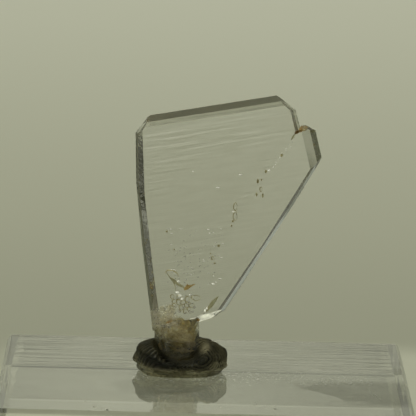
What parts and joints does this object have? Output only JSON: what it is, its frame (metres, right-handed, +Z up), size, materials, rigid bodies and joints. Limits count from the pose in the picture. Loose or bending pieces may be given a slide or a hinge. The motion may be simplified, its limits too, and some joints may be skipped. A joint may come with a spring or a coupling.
{
  "type": "japan law twin quartz",
  "caption": "Clear tabular quartz twin, two flat blades meeting at a wide angle with a notch between their tips, held by a putty lump on a square clear acrylic block.",
  "frame": {"origin": "middle of the clear block's underside", "axes": "+Z up, the twin's broad front face looks along -Y, and its notch is on the +X side"},
  "size_m": [0.0318, 0.0318, 0.0378],
  "materials": {
    "quartz": "clear with natural faces, cloudy brown at its root",
    "putty": "dull, finger ridged",
    "acrylic": "polished"
  },
  "bodies": {
    "root": {"quartz_twin": "quartz", "putty_mount": "putty", "display_block": "acrylic"}
  },
  "joints": []
}
